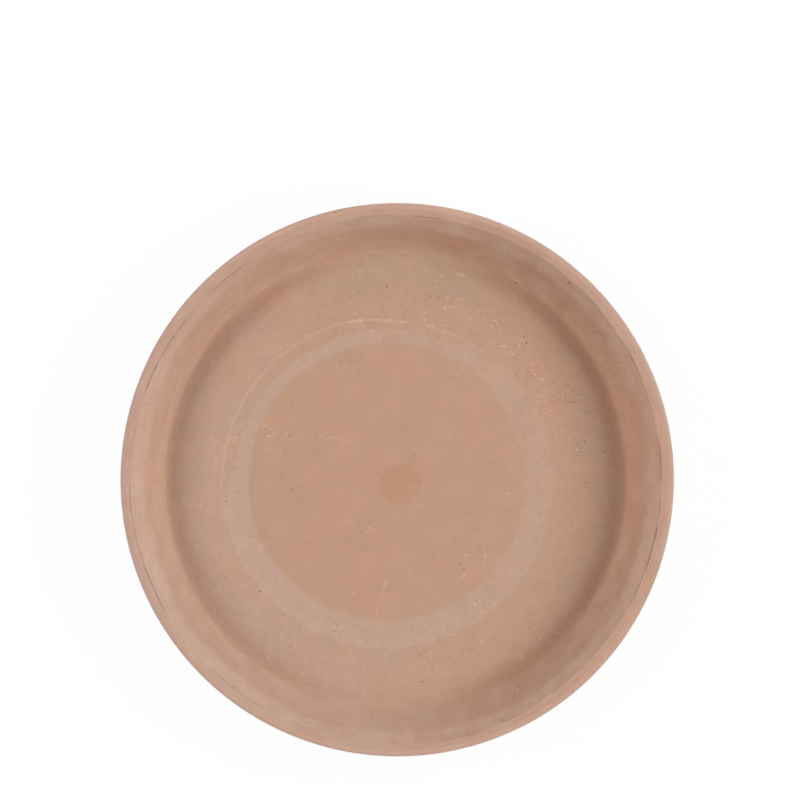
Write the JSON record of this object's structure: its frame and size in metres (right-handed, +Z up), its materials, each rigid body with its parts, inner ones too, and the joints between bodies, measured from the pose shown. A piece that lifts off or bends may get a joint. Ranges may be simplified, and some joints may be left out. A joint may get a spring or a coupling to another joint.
{
  "type": "plant saucer",
  "caption": "Round shallow unglazed earthenware saucer with a flat foot, a flared wall and a thick rounded lip, for standing under a plant pot.",
  "frame": {"origin": "middle of the foot, on the ground it stands on", "axes": "+Z up, along the axis the saucer was turned about; +X and +Y level, with nothing to tell them apart but the off-centre print on the floor, which lies towards -X"},
  "size_m": [0.27, 0.27, 0.04],
  "materials": {
    "fired_clay": "matte"
  },
  "bodies": {
    "root": {"saucer": "fired_clay"}
  },
  "joints": []
}
